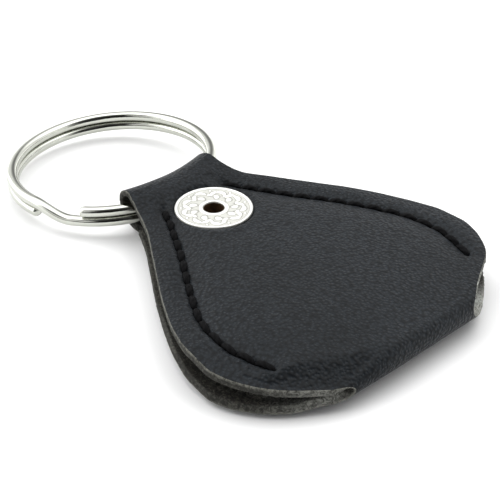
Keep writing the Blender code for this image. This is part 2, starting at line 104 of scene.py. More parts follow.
# hollow along the seam, and the finer marks in it: groove, needle holes, swell and puckers
SEAM_BAND = 1.6           # half width of the finely divided band along the seam
SINK_DEPTH = 0.42
SINK_INSIDE = 2.6         # width toward the pocket
SINK_OUTSIDE = 1.3        # width toward the rim
SINK_FADE = 3.0           # the hollow fades out over this length at both ends
GROOVE_DEPTH = 0.30
GROOVE_WIDTH = 0.50
HOLE_DEPTH = 0.25
HOLE_WIDTH = 0.60
SWELL_HEIGHT = 0.06
PUCKER_HEIGHT = 0.12
PUCKER_STEP = 1.15
# lines of the cut edge: share of the thickness and how far the line stands out
CUT_LINES = [(0.10, 0.07), (0.30, 0.13), (0.52, 0.10), (0.74, 0.13), (0.92, 0.06)]
CUT_FUZZ = 0.035
# frayed fibre at the ends of the fold, made paler with painted light: centre, width and strength
FRAYS_AND_PAINTED_LIGHT = [((14.5, -39.3), 4.0, 1.0), ((-16.5, -38.5), 5.0, 0.30)]

FLANGE_R = 6.0
FLANGE_TOP = 6.72
POST_BORE = 1.6
POST_R = 1.85
POST_PLAY = 0.1           # the hole in the leather is this much wider than the post

FLANGE_SEGMENTS = 320
FLANGE_LEAVES = 9
# each motif: distance from the middle, lean, half length, half width, angle and height
FLANGE_MOTIF = [(4.60, 1.25, 0.82, 0.34, -0.10, 0.25), (4.25, -0.70, 0.72, 0.30, 0.22, 0.22),
                (3.25, 0.5, 0.55, 0.40, 0.05, 0.20), (3.75, 1.3, 0.36, 0.26, 0.36, 0.17),
                (5.00, 0.2, 0.22, 0.20, 0.30, 0.14)]

RING_R = 16.55
WIRE_WIDE = 1.85
WIRE_HIGH = 1.65
COIL_PITCH = 1.72
RING_OFFSET = 1.25        # wire's centre line behind the loop's centre
RING_LOW_END = -173.0
CRANK_LOW = -151.0
CRANK_HIGH = -175.0
RING_HIGH_END = -144.0

STITCHES = 15
THREAD_R = 0.53
THREAD_FLAT = 0.82        # height of a strand's section as a share of its width
PLY_DEPTH = 0.16          # depth of the grooves between the plies, as a share of the radius

# camera, solved for the photographed view
VIEW_AZIMUTH = -43.1
VIEW_ELEVATION = 33.3
VIEW_ROLL = 0.4
VIEW_TARGET = (-4.0, -12.9, 6.8)
VIEW_DISTANCE = 172.8
VIEW_LENS = 86.4

# white studio tent: brightness by height, extra at both sides, share left in the opening
TENT_LEVELS = [(0.0, 0.42), (0.12, 0.38), (0.28, 0.12), (0.55, 0.10), (0.90, 0.95),
               (1.0, 1.0)]
TENT_SIDES = 0.34
TENT_SHADE = 0.03
TENT_SIDE_AXIS = (0.730, -0.683, 0.0)       # from one bright side to the other
TENT_OPENING = (-0.571, -0.610, 0.549)      # direction of the opening
TENT_STRENGTH = 2.7


# ---------------------------------------------------------------- curves and small maths
def curve(table):
    """Smooth monotone curve through (position, value) pairs, for numbers or arrays."""
    pts = sorted(table)
    xs = np.array([p[0] for p in pts])
    ys = np.array([p[1] for p in pts])
    slopes = np.diff(ys) / np.diff(xs)
    tangents = np.zeros(len(xs))
    tangents[0] = slopes[0]
    tangents[-1] = slopes[-1]
    for i, (a, b) in enumerate(zip(slopes, slopes[1:])):
        tangents[i + 1] = 0.0 if a * b <= 0.0 else 2.0 * a * b / (a + b)

    def value(x):
        x = np.clip(x, xs[0], xs[-1])
        i = np.clip(np.searchsorted(xs, x, side="right") - 1, 0, len(xs) - 2)
        h = xs[i + 1] - xs[i]
        t = (x - xs[i]) / h
        return ((1.0 + 2.0 * t) * (1.0 - t) ** 2 * ys[i] + t * (1.0 - t) ** 2 * h * tangents[i]
                + t * t * (3.0 - 2.0 * t) * ys[i + 1] + t * t * (t - 1.0) * h * tangents[i + 1])

    return value


outline_half = curve(OUTLINE)
seam_half = curve(SEAM)
front_height = curve(FRONT_HEIGHT)
back_height = curve(BACK_HEIGHT)
seam_height = curve(SEAM_HEIGHT)
edge_gape = curve(EDGE_GAPE)
mouth_half = curve(MOUTH)
tab_height = curve(TAB_HEIGHT)
left_pull = curve(LEFT_PULL)
sag_start = curve(SAG_START)
sag_depth = curve(SAG_DEPTH)


def ease(t):
    """Smooth step from 0 to 1."""
    t = np.clip(t, 0.0, 1.0)
    return t * t * (3.0 - 2.0 * t)


def bump(t, width):
    """Bell curve of height 1."""
    return np.exp(-(t / width) ** 2)


def wander(points, size, seed):
    """Smooth noise from -1 to 1 at each point (an array of x, y, z in mm)."""
    shift = Vector((seed * 7.3, seed * 3.1, seed * 11.7))
    flat = points.reshape(-1, 3)
    values = [noise.noise(Vector(p) / size + shift) for p in flat]
    return np.array(values).reshape(points.shape[:-1])


# seam line by arc length, used by the grooves and by the thread
SEAM_YS = np.linspace(SEAM_TOP_Y, SEAM_END_Y, 800)
SEAM_XS = seam_half(SEAM_YS)
SEAM_RUN = np.concatenate([[0.0], np.cumsum(np.hypot(np.diff(SEAM_XS), np.diff(SEAM_YS)))])
SEAM_LENGTH = SEAM_RUN[-1]
PITCH = SEAM_LENGTH / STITCHES


def seam_point(run):
    """x and y of the right seam at a distance along it."""
    return np.interp(run, SEAM_RUN, SEAM_XS), np.interp(run, SEAM_RUN, SEAM_YS)


def seam_frame(x, y):
    """Distance along the seam and signed distance outward from it, for points near it."""
    ahead = seam_half(y - 0.2)
    behind = seam_half(y + 0.2)
    slope = (ahead - behind) / 0.4
    cos = 1.0 / np.sqrt(1.0 + slope * slope)
    out = (np.abs(x) - seam_half(y)) * cos
    run = np.interp(-y, -SEAM_YS, SEAM_RUN) + (np.abs(x) - seam_half(y)) * slope * cos
    run = run + 1.3 * (np.maximum(SEAM_END_Y - y, 0.0) - np.maximum(y - SEAM_TOP_Y, 0.0))
    return run, out


# ---------------------------------------------------------------- mesh making
def link(obj):
    """Puts an object in the scene."""
    bpy.context.scene.collection.objects.link(obj)
    return obj


def mesh_object(name, verts, faces, materials, slots=None, smooth=True, attributes=None):
    """Object from verts in mm counted from the snap; slots gives each face's material."""
    mesh = bpy.data.meshes.new(name)
    placed = np.array(verts, dtype=float) * MM
    placed[:, 1] += Y_SNAP * MM
    mesh.from_pydata(placed.tolist(), [], faces)
    for mat in materials:
        mesh.materials.append(mat)
    if slots is not None:
        mesh.polygons.foreach_set("material_index", slots)
    for key, values in (attributes or {}).items():
        layer = mesh.attributes.new(key, "FLOAT", "POINT")
        layer.data.foreach_set("value", np.asarray(values, dtype=np.float32))
    bm = bmesh.new()
    bm.from_mesh(mesh)
    bmesh.ops.recalc_face_normals(bm, faces=bm.faces)
    bm.to_mesh(mesh)
    bm.free()
    mesh.polygons.foreach_set("use_smooth", [smooth] * len(mesh.polygons))
    mesh.update()
    return link(bpy.data.objects.new(name, mesh))


def grid_normals(grid):
    """Unit normals of a grid of points."""
    du = np.gradient(grid, axis=1)
    dv = np.gradient(grid, axis=0)
    normal = np.cross(du, dv)
    return normal / np.linalg.norm(normal, axis=2)[:, :, None]


def touched(cells):
    """Grid points that belong to at least one of the cells."""
    rows, cols = cells.shape
    points = np.zeros((rows + 1, cols + 1), dtype=bool)
    for i in (0, 1):
        for j in (0, 1):
            points[i:rows + i, j:cols + j] |= cells
    return points


def open_edges(quads):
    """Edges that only one face uses, in the order in which they were met."""
    edges = {}
    for quad in quads:
        for a, b in zip(quad, quad[1:] + quad[:1]):
            if (b, a) in edges:
                del edges[(b, a)]
            else:
                edges[(a, b)] = True
    return list(edges)


def outward(verts, count, edges):
    """Direction away from the leather at each point of the open edges."""
    directions = {}
    for a, b in edges:
        side = np.cross(verts[b] - verts[a], verts[count + a] - verts[a])
        size = np.linalg.norm(side)
        if size < 1e-9:
            continue
        for k in (a, b):
            directions[k] = directions.get(k, np.zeros(3)) + side / size
    return directions


def leather_shell(name, outer, inner, keep, materials):
    """Leather sheet from its grain and flesh side grids; cut edges get a rounded border.

    keep says which grid cells exist. Materials are grain, flesh and cut edge.
    """
    used = touched(keep)
    count = int(used.sum())
    index = -np.ones(used.shape, dtype=int)
    index[used] = np.arange(count)
    verts = list(outer[used]) + list(inner[used])
    cut_depth = [0.0] * count + [1.0] * count
    quads = [[int(index[i + a, j + b]) for a, b in ((0, 0), (0, 1), (1, 1), (1, 0))]
             for i, j in zip(*np.nonzero(keep))]
    faces = []
    slots = []
    for quad in quads:
        faces += [quad, [count + k for k in reversed(quad)]]
        slots += [0, 1]
    edges = open_edges(quads)
    border = {}
    fuzz = random.Random(17)
    for k, direction in outward(verts, count, edges).items():
        direction = direction / max(np.linalg.norm(direction), 1e-9)
        border[k] = [k]
        for depth, push in CUT_LINES:
            point = verts[k] * (1.0 - depth) + verts[count + k] * depth
            border[k].append(len(verts))
            verts.append(point + direction * (push + fuzz.uniform(-CUT_FUZZ, CUT_FUZZ)))
            cut_depth.append(depth)
        border[k].append(count + k)
    for a, b in edges:
        if a not in border or b not in border:
            continue
        for p in range(len(CUT_LINES) + 1):
            faces.append([border[b][p], border[a][p], border[a][p + 1], border[b][p + 1]])
            slots.append(2)
    places = np.array(verts)
    fray_and_painted_light = sum(strength * bump(np.hypot(places[:, 0] - x, places[:, 1] - y), width)
               for (x, y), width, strength in FRAYS_AND_PAINTED_LIGHT)
    return mesh_object(name, verts, faces, materials, slots,
                       attributes={"cut_depth": cut_depth, "fray_and_painted_light": fray_and_painted_light})


def turned_verts(profile, segments):
    """Copies of a (radius, z) profile, turned round Z."""
    angles = [2.0 * math.pi * k / segments for k in range(segments)]
    return [(r * math.cos(a), r * math.sin(a), z) for a in angles for r, z in profile]


def turned_faces(count, segments, closed=True):
    """Faces between the turned copies of a profile of count points."""
    faces = []
    for k in range(segments):
        here = k * count
        there = (k + 1) % segments * count
        for i in range(count if closed else count - 1):
            j = (i + 1) % count
            faces.append((here + i, here + j, there + j, there + i))
    return faces


def lathe_object(name, profile, segments, materials, closed=True):
    """Body of revolution round Z; an open profile gets a flat cap at both ends."""
    count = len(profile)
    faces = turned_faces(count, segments, closed)
    if not closed:
        faces.append([k * count for k in range(segments)])
        faces.append([k * count + count - 1 for k in reversed(range(segments))])
    return mesh_object(name, turned_verts(profile, segments), faces, materials)


def rounded(profile, closed=True, passes=2):
    """Cuts the corners of a profile a few times."""
    pts = [np.array(p, dtype=float) for p in profile]
    for _ in range(passes):
        new = [] if closed else [pts[0]]
        pairs = list(zip(pts, pts[1:] + pts[:1])) if closed else list(zip(pts, pts[1:]))
        for a, b in pairs:
            new += [a * 0.85 + b * 0.15, a * 0.15 + b * 0.85]
        if not closed:
            new.append(pts[-1])
        pts = new
    return pts


def sweep(points, ups, sections):
    """Tube along points; sections holds one closed (side, up) outline for each point."""
    pts = np.array(points, dtype=float)
    tangents = np.gradient(pts, axis=0)
    tangents /= np.linalg.norm(tangents, axis=1)[:, None]
    verts = []
    faces = []
    n = len(sections[0])
    for p, t, u, section in zip(pts, tangents, ups, sections):
        side = np.cross(t, np.array(u, dtype=float))
        side /= np.linalg.norm(side)
        up = np.cross(side, t)
        verts += [p + side * a + up * b for a, b in section]
    for k in range(len(pts) - 1):
        for i in range(n):
            j = (i + 1) % n
            faces.append((k * n + i, k * n + j, (k + 1) * n + j, (k + 1) * n + i))
    faces.append(tuple(range(n)))
    faces.append(tuple((len(pts) - 1) * n + i for i in reversed(range(n))))
    return verts, faces


# ---------------------------------------------------------------- materials
class Tree:
    """Short way to build the node tree of a material or a world."""

    def __init__(self, owner):
        owner.use_nodes = True
        self.tree = owner.node_tree

    def add(self, kind, **settings):
        """New node; a setting is an input's value or else a property."""
        node = self.tree.nodes.new(kind)
        for key, value in settings.items():
            if key in node.inputs:
                node.inputs[key].default_value = value
            else:
                setattr(node, key, value)
        return node

    def wire(self, source, target):
        self.tree.links.new(source, target)

    def ramp(self, value, stops):
        """Color that follows a value through (place, color) stops."""
        node = self.add("ShaderNodeValToRGB")
        points = node.color_ramp.elements
        while len(points) < len(stops):
            points.new(0.5)
        for point, (place, color) in zip(points, stops):
            point.position = place
            point.color = (*color, 1.0)
        self.wire(value, node.inputs["Fac"])
        return node.outputs["Color"]

    def math(self, operation, a, b):
        """Sum, product and so on of sockets or numbers."""
        node = self.add("ShaderNodeMath", operation=operation)
        for socket, value in zip(node.inputs, (a, b)):
            if isinstance(value, (int, float)):
                socket.default_value = value
            else:
                self.wire(value, socket)
        return node.outputs[0]


class Nodes(Tree):
    """Node tree of a new material."""

    def __init__(self, name):
        self.material = bpy.data.materials.new(name)
        super().__init__(self.material)
        self.shader = self.tree.nodes["Principled BSDF"]

    def coordinates(self):
        return self.add("ShaderNodeTexCoord").outputs["Object"]

    def noise(self, vector, scale, detail=4.0, roughness=0.5, distortion=0.0):
        node = self.add("ShaderNodeTexNoise", Scale=scale, Detail=detail, Roughness=roughness,
                        Distortion=distortion)
        self.wire(vector, node.inputs["Vector"])
        return node.outputs["Fac"]

    def cells(self, vector, scale):
        node = self.add("ShaderNodeTexVoronoi", Scale=scale, feature="SMOOTH_F1")
        self.wire(vector, node.inputs["Vector"])
        return node.outputs["Distance"]

    def remap(self, value, low, high):
        """Value from 0 to 1 stretched to run from low to high."""
        node = self.add("ShaderNodeMapRange")
        node.inputs["To Min"].default_value = low
        node.inputs["To Max"].default_value = high
        self.wire(value, node.inputs["Value"])
        return node.outputs["Result"]

    def mix(self, factor, a, b, blend="MIX"):
        node = self.add("ShaderNodeMix", data_type="RGBA", blend_type=blend)
        for name, value in (("Factor", factor), ("A", a), ("B", b)):
            socket = [s for s in node.inputs if s.name == name and s.enabled][0]
            if isinstance(value, (int, float)):
                socket.default_value = value
            elif isinstance(value, tuple):
                socket.default_value = (*value, 1.0)
            else:
                self.wire(value, socket)
        return [s for s in node.outputs if s.enabled][0]

    def relief(self, height, distance, before=None):
        """Bumped normal, on top of the one before it."""
        node = self.add("ShaderNodeBump", Strength=1.0, Distance=distance)
        self.wire(height, node.inputs["Height"])
        if before is not None:
            self.wire(before, node.inputs["Normal"])
        return node.outputs["Normal"]

    def finish(self, color=None, roughness=None, normal=None, **fixed):
        """Feeds the shader with sockets, colors or numbers and gives the material."""
        for name, value in (("Base Color", color), ("Roughness", roughness)):
            if value is None:
                continue
            if isinstance(value, tuple):
                self.shader.inputs[name].default_value = (*value, 1.0)
            elif isinstance(value, (int, float)):
                self.shader.inputs[name].default_value = value
            else:
                self.wire(value, self.shader.inputs[name])
        if normal is not None:
            self.wire(normal, self.shader.inputs["Normal"])
        for key, value in fixed.items():
            self.shader.inputs[key.replace("_", " ")].default_value = value
        return self.material


def grain_leather():
    """Black leather with a fine pebbled grain and a soft uneven sheen."""
    n = Nodes("leather_grain")
    place = n.coordinates()
    warp = n.add("ShaderNodeVectorMath", operation="MULTIPLY_ADD")
    drift = n.add("ShaderNodeTexNoise", Scale=900.0, Detail=2.0)
    n.wire(place, drift.inputs["Vector"])
    n.wire(drift.outputs["Color"], warp.inputs[0])
    warp.inputs[1].default_value = (0.00016, 0.00016, 0.00016)
    n.wire(place, warp.inputs[2])
    warped = warp.outputs[0]
    pebble = n.cells(warped, 2300.0)
    fine = n.noise(place, 3800.0, detail=3.0, roughness=0.6)
    creases = n.noise(place, 300.0, detail=3.0, roughness=0.5, distortion=0.3)
    patches = n.noise(place, 45.0, detail=3.0, roughness=0.5)
    shade = n.ramp(patches, [(0.30, (0.0072, 0.0093, 0.0112)), (0.70, (0.0117, 0.0147, 0.0177))])
    speck = n.ramp(pebble, [(0.10, (1.55, 1.55, 1.58)), (0.60, (0.45, 0.45, 0.46))])
    color = n.mix(1.0, shade, speck, blend="MULTIPLY")
    rough = n.math("ADD", n.remap(pebble, 0.36, 0.52), n.remap(fine, -0.06, 0.10))
    normal = n.relief(creases, 0.00006)
    normal = n.relief(pebble, 0.00019, before=normal)
    normal = n.relief(fine, 0.00005, before=normal)
    return n.finish(color, rough, normal, Specular_IOR_Level=0.12, Sheen_Weight=0.02,
                    Sheen_Roughness=0.5)


def flesh_leather():
    """Suede-like fibre on the inside of the leather."""
    n = Nodes("leather_flesh")
    place = n.coordinates()
    fibre = n.noise(place, 1700.0, detail=6.0, roughness=0.7, distortion=1.6)
    cloud = n.noise(place, 220.0, detail=3.0)
    color = n.ramp(fibre, [(0.36, (0.006, 0.006, 0.005)), (0.52, (0.035, 0.033, 0.028)),
                           (0.68, (0.14, 0.135, 0.11))])
    color = n.mix(n.remap(cloud, 0.0, 0.4), color, (0.018, 0.017, 0.014))
    # painted light: near the ends of the fold the flesh is painted much paler, on top of its
    # frayed fibre
    fray_and_painted_light = n.add("ShaderNodeAttribute", attribute_name="fray_and_painted_light").outputs["Fac"]
    loose_fibre_with_painted_light = n.ramp(fibre, [(0.36, (0.10, 0.10, 0.09)), (0.62, (0.62, 0.64, 0.60))])
    color = n.mix(fray_and_painted_light, color, loose_fibre_with_painted_light)
    return n.finish(color, 0.92, n.relief(fibre, 0.00012), Specular_IOR_Level=0.25)


def cut_leather():
    """Cut edge of the leather: pale compressed fibre with darker layers, painted paler along its
    top next to the grain side as a painted highlight.
    """
    n = Nodes("leather_edge")
    place = n.coordinates()
    fibre = n.noise(place, 1500.0, detail=5.0, roughness=0.65, distortion=1.5)
    patch = n.noise(place, 330.0, detail=3.0, roughness=0.6)
    depth = n.add("ShaderNodeAttribute", attribute_name="cut_depth").outputs["Fac"]
    color = n.ramp(fibre, [(0.36, (0.006, 0.006, 0.005)), (0.50, (0.026, 0.025, 0.021)),
                           (0.66, (0.125, 0.125, 0.105))])
    color = n.mix(n.remap(patch, 0.0, 0.8), color, (0.014, 0.014, 0.011))
    # painted highlight: the top of the cut edge, next to the grain side, is painted paler
    painted_edge_highlight = n.math("MULTIPLY", n.remap(depth, 1.3, -2.6), n.remap(fibre, -1.2, 2.4))
    color = n.mix(painted_edge_highlight, color, (0.16, 0.16, 0.138))
    # painted light: near the ends of the fold the cut edge is painted much paler, on top of its
    # frayed fibre
    fray_and_painted_light = n.add("ShaderNodeAttribute", attribute_name="fray_and_painted_light").outputs["Fac"]
    loose_fibre_with_painted_light = n.ramp(fibre, [(0.36, (0.06, 0.06, 0.05)), (0.62, (0.50, 0.51, 0.47))])
    color = n.mix(fray_and_painted_light, color, loose_fibre_with_painted_light)
    return n.finish(color, 0.88, n.relief(fibre, 0.00022), Specular_IOR_Level=0.3)


def bright_metal():
    """Polished nickel plate with faint handling marks."""
    n = Nodes("bright_nickel_plate")
    place = n.coordinates()
    smudge = n.noise(place, 190.0, detail=4.0, roughness=0.6)
    scratch = n.noise(place, 5200.0, detail=2.0, roughness=0.5)
    color = n.ramp(smudge, [(0.30, (0.50, 0.51, 0.46)), (0.75, (0.60, 0.61, 0.56))])
    rough = n.math("ADD", n.remap(smudge, 0.05, 0.15), n.remap(scratch, -0.02, 0.04))
    return n.finish(color, rough, n.relief(scratch, 0.000004), Metallic=1.0)


def satin_metal():
    """Satin nickel of the flange: patina darkens the foot of the relief, and the raised tops are
    painted lighter as painted highlight.
    """
    n = Nodes("satin_nickel_relief")
    place = n.coordinates()
    depth = n.add("ShaderNodeAttribute", attribute_name="relief").outputs["Fac"]
    grain = n.noise(place, 6000.0, detail=3.0, roughness=0.6)
    cloud = n.noise(place, 500.0, detail=3.0)
    # patina at the foot of the relief; the lighter raised tops are painted highlight
    color = n.ramp(depth, [(0.0, (0.62, 0.62, 0.58)), (0.10, (0.22, 0.22, 0.20)),
                           (0.34, (0.62, 0.62, 0.58)), (0.8, (0.92, 0.92, 0.89))])
    color = n.mix(n.remap(cloud, 0.0, 0.3), color, (0.66, 0.66, 0.62))
    rough = n.math("ADD", n.remap(depth, 0.55, 0.38), n.remap(grain, -0.04, 0.06))
    return n.finish(color, rough, n.relief(grain, 0.00001), Metallic=0.75)


def tarnished_bore():
    """Brown tarnished brass inside the hollow post."""
    n = Nodes("tarnished_bore")
    place = n.coordinates()
    stain = n.noise(place, 1500.0, detail=5.0, roughness=0.65)
    color = n.ramp(stain, [(0.30, (0.022, 0.011, 0.005)), (0.72, (0.115, 0.060, 0.024))])
    return n.finish(color, 0.55, n.relief(stain, 0.00003), Metallic=0.35)


def spring_metal():
    """Drawn steel wire of the spring in the snap."""
    n = Nodes("spring_wire")
    place = n.coordinates()
    drawn = n.noise(place, 2400.0, detail=3.0)
    color = n.ramp(drawn, [(0.3, (0.36, 0.36, 0.37)), (0.7, (0.56, 0.56, 0.58))])
    return n.finish(color, n.remap(drawn, 0.22, 0.36), n.relief(drawn, 0.000006),
                    Metallic=1.0)


def black_thread():
    """Waxed black sewing thread with fine filaments along the strand; the grooves between the
    plies are painted darker as painted shade.
    """
    n = Nodes("black_thread")
    place = n.coordinates()
    ply = n.add("ShaderNodeAttribute", attribute_name="ply").outputs["Fac"]
    fuzz = n.noise(place, 7000.0, detail=4.0, roughness=0.7)
    # painted shade: darker in the grooves between the plies, lighter on their tops
    color = n.ramp(n.math("ADD", n.math("MULTIPLY", ply, 0.6), n.math("MULTIPLY", fuzz, 0.4)),
                   [(0.2, (0.0005, 0.0005, 0.0006)), (0.8, (0.0040, 0.0040, 0.0046))])
    return n.finish(color, n.remap(fuzz, 0.55, 0.8), n.relief(fuzz, 0.00005),
                    Specular_IOR_Level=0.06)


def floor_material():
    """Matt, nearly white floor."""
    n = Nodes("pale_floor")
    place = n.coordinates()
    tone = n.noise(place, 3.0, detail=2.0)
    color = n.ramp(tone, [(0.3, (0.90, 0.90, 0.90)), (0.7, (0.93, 0.93, 0.93))])
    return n.finish(color, 0.75, Specular_IOR_Level=0.1)


# ---------------------------------------------------------------- leather shape
def column_spread():
    """Half-row of columns: (zone, fraction) from the middle line to the cut edge."""
    inner = [("panel", f) for f in np.linspace(0.0, 1.0, 28)[:-1]]
    seam = [("seam", f) for f in np.linspace(-1.0, 1.0, 15)]
    outer = [("rim", f) for f in (0.12, 0.26, 0.42, 0.58, 0.72, 0.84, 0.93, 1.0)]
    return inner + seam + outer


COLUMNS = column_spread()


def row_positions(seam, edge):
    """x of every column of a row from its seam and edge half widths."""
    band = min(SEAM_BAND, seam * 0.35)
    right = []
    for zone, f in COLUMNS:
        if zone == "panel":
            right.append((seam - band) * f)
        elif zone == "seam":
            right.append(seam + band * f)
        else:
            right.append(seam + band + (edge - seam - band) * f)
    right = np.array(right)
    return np.concatenate([-right[:0:-1], right])


def panel_height(x, y, middle, side):
    """Grain side height of the front (side 1) or back (side -1) panel before fine detail."""
    edge = outline_half(y)
    rim = seam_height(y) + side * (LEATHER + edge_gape(y))
    base = middle + (rim - middle) * np.minimum(np.abs(x) / edge, 1.0) ** 3
    run, out = seam_frame(x, y)
    ahead = ease((run + SINK_FADE) / SINK_FADE)
    sewn = ahead * ease((SEAM_LENGTH + 0.5 * SINK_FADE - run) / SINK_FADE)
    sink = SINK_DEPTH * bump(out, np.where(out < 0.0, SINK_INSIDE, SINK_OUTSIDE))
    return base - side * sink * sewn


def drawn_in(x, y, side):
    """The x of a point after the left side's pull."""
    amount = left_pull(y) * (1.0 if side > 0.0 else BACK_PULL)
    return np.where(x < 0.0, x * (1.0 - amount / outline_half(y)), x)


def corner_sag(x, y):
    """Drop of the front panel's rim toward the pinched left end of the fold."""
    start = sag_start(y)
    return sag_depth(y) * ease((-x - start) / (outline_half(y) - start))


def seam_detail(x, y, side):
    """Groove pressed by the thread, the pull at each needle hole and puckers beside it."""
    run, out = seam_frame(x, y)
    sewn = ease((run + 1.2) / 1.2) * ease((SEAM_LENGTH + 1.2 - run) / 1.2)
    groove = GROOVE_DEPTH * bump(out, GROOVE_WIDTH)
    step = (run / PITCH + 0.5) % 1.0 - 0.5
    hole = HOLE_DEPTH * bump(step * PITCH, GROOVE_WIDTH) * bump(out, HOLE_WIDTH)
    swell = SWELL_HEIGHT * bump(out - 1.3, 0.6) * (0.6 + 0.4 * np.cos(2.0 * math.pi * step))
    pucker = PUCKER_HEIGHT * np.sin(run * 2.0 * math.pi / PUCKER_STEP
                                    + 1.3 * np.sin(run * 0.9))
    pucker = pucker * bump(out - 1.7, 1.1) * (0.65 + 0.35 * np.sin(run * 0.37 + 1.0))
    return side * sewn * (swell + pucker - groove - hole)


def snap_dish(x, y):
    """The leather is pressed down under the snap's flange and swells a little round it."""
    r = np.hypot(x, y)
    dish = -0.50 * (1.0 - ease((r - FLANGE_R) / 0.75))
    return dish + 0.07 * bump(r - FLANGE_R - 1.3, 0.6)


def bow(x, half):
    """Pull of the ring on the middle of the tip."""
    return TIP_BOW * (1.0 - np.minimum(np.abs(x) / half, 1.0) ** 2)


def tip_lift(x, half):
    """Upward flare of the tip's right corner."""
    return TIP_CORNER_LIFT * np.clip(x / half, 0.0, 1.0) ** 2


# panels of the blank, in their order from the closure tab on
CURL, FRONT, FOLD, BACK = range(4)


def curl_rows():
    """Rows from the closure tab up and over the ring, to the front panel."""
    seam = float(seam_half(LOOP_Y))
    edge = float(outline_half(LOOP_Y))
    for a in np.linspace(-89.7, 90.0, 34)[:-1]:
        if a < 0.0:
            half = CURL_HALF_END + (CURL_HALF_OUT - CURL_HALF_END) * ease((a + 90.0) / 90.0)
        else:
            half = CURL_HALF_OUT + (edge - CURL_HALF_OUT) * a / 90.0
        xs = row_positions(seam, edge) * half / edge
        pull = bow(xs, half) * ease((a + 15.0) / 75.0)
        y = LOOP_Y + LOOP_R * math.cos(math.radians(a)) - pull
        z = LOOP_Z + LOOP_R * math.sin(math.radians(a))
        z = z + tip_lift(xs, half) * ease((a + 20.0) / 110.0)
        yield CURL, LEATHER - SKIVED * ease((a + 75.0) / 60.0), xs, y, z


def front_rows():
    """Rows of the front panel, from the curl to the fold."""
    for y in np.linspace(LOOP_Y, FOLD_Y, 176)[:-1]:
        edge = outline_half(y)
        xs = row_positions(float(seam_half(y)), float(edge))
        ys = np.full_like(xs, y)
        z = panel_height(xs, ys, front_height(y), 1.0)
        z = z + seam_detail(xs, ys, 1.0) + snap_dish(xs, ys) - corner_sag(xs, ys)
        xs = np.where(xs > 0.0, xs * (1.0 - RIGHT_NOTCH * ease((-y - 34.5) / 5.4)), xs)
        near_tip = ease((y - 4.0) / (LOOP_Y - 4.0))
        z = z + tip_lift(xs, edge) * near_tip
        thick = LEATHER - SKIVED * ease((y - 6.5) / 3.5)
        yield FRONT, thick, drawn_in(xs, ys, 1.0), ys - bow(xs, edge) * near_tip, z


def fold_rows():
    """Rows of the rolled fold; its left end is pinched and its right end is notched."""
    edge = float(outline_half(FOLD_Y))
    for k in range(25):
        a = math.radians(90.0 + 180.0 * k / 24)
        half = edge + (FOLD_HALF - edge) * math.sin(math.pi * k / 24)
        xs = row_positions(float(seam_half(FOLD_Y)), edge) * half / edge
        notch = RIGHT_NOTCH * (1.0 - ease((k - 8.0) / 14.0))
        xs = np.where(xs > 0.0, xs * (1.0 - notch), xs)
        sag = corner_sag(xs, np.full_like(xs, FOLD_Y))
        y = FOLD_Y + (FOLD_R - 0.36 * sag) * FOLD_SQUASH * math.cos(a)
        z = FOLD_Z - 0.5 * sag + (FOLD_R - 0.5 * sag) * math.sin(a)
        yield FOLD, LEATHER, xs, y, z


def back_rows():
    """Rows of the back panel, from the fold to the ends of its two ears."""
    for y in np.linspace(FOLD_Y, EAR_END, 150)[1:]:
        xs = row_positions(float(seam_half(y)), float(outline_half(y)))
        ys = np.full_like(xs, y)
        z = panel_height(xs, ys, back_height(y), -1.0) + seam_detail(xs, ys, -1.0)
        near_fold = ease((-y - 20.0) / 8.0) * ease((y - FOLD_Y) / 3.0)
        beyond = ease((-xs / seam_half(y) - 0.9) * 5.0)
        z = np.maximum(z - BACK_DROP * near_fold * beyond, 0.03)
        yield BACK, LEATHER, drawn_in(xs, ys, -1.0), ys, z


def leather_rows():
    """Grain side of the pouch as a grid, with the panel and the thickness of each row."""
    rows = [*curl_rows(), *front_rows(), *fold_rows(), *back_rows()]
    panels = np.array([row[0] for row in rows])
    thickness = np.array([float(row[1]) for row in rows])
    grid = np.array([np.stack(row[2:], axis=1) for row in rows])
    return grid, panels, thickness


def mouth_outline():
    """Outline of the thumb mouth, from one ear's end round to the other's."""
    ys = [8.0, 6.5, 5.0, 2.5, 0.0, -2.5, -5.0, -7.0, -9.0, -10.4, -11.5, -12.3, -12.9]
    side = [(float(mouth_half(y)), y) for y in ys] + [(4.2, MOUTH_BOTTOM + 0.25),
                                                      (2.2, MOUTH_BOTTOM)]
    points = side + [(-x, y) for x, y in reversed(side)]
    return np.array(rounded(points, closed=False, passes=3))


def snap_to_line(point, line):
    """Nearest point of a polyline."""
    a = line[:-1]
    b = line[1:]
    d = b - a
    t = np.clip(((point - a) * d).sum(1) / (d ** 2).sum(1), 0.0, 1.0)
    near = a + d * t[:, None]
    return near[np.argmin(((near - point) ** 2).sum(1))]


def whole_cells(grid, panels, line):
    """Grid cells outside the thumb mouth and outside the hole for the snap's post."""
    centre = 0.25 * (grid[:-1, :-1] + grid[1:, :-1] + grid[:-1, 1:] + grid[1:, 1:])
    x = centre[:, :, 0]
    y = centre[:, :, 1]
    right = line[:len(line) // 2]
    reach = np.interp(-y, -right[:, 1], right[:, 0])
    back = ((panels[:-1] == BACK) & (panels[1:] == BACK))[:, None]
    mouth = back & (np.abs(x) < reach) & (y > MOUTH_BOTTOM)
    front = (panels[:-1] == FRONT)[:, None]
    return ~mouth & ~(front & (np.hypot(x, y) < POST_R + POST_PLAY))


def shift_to_cut(point, panel, line):
    """Move that brings a point beside an opening onto the line of the cut."""
    if panel == BACK and point[1] < EAR_END - 0.05:
        x, y = snap_to_line(point[:2], line)
        z = panel_height(x, y, back_height(y), -1.0) + seam_detail(x, y, -1.0)
        return np.array([float(x), float(y), float(z)]) - point
    if panel == BACK:
        x = math.copysign(float(mouth_half(EAR_END)), point[0])
        return np.array([x - point[0], 0.0, 0.0])
    r = max(math.hypot(point[0], point[1]), 0.1)
    shift = point * ((POST_R + POST_PLAY) / r - 1.0)
    shift[2] = 0.0
    return shift


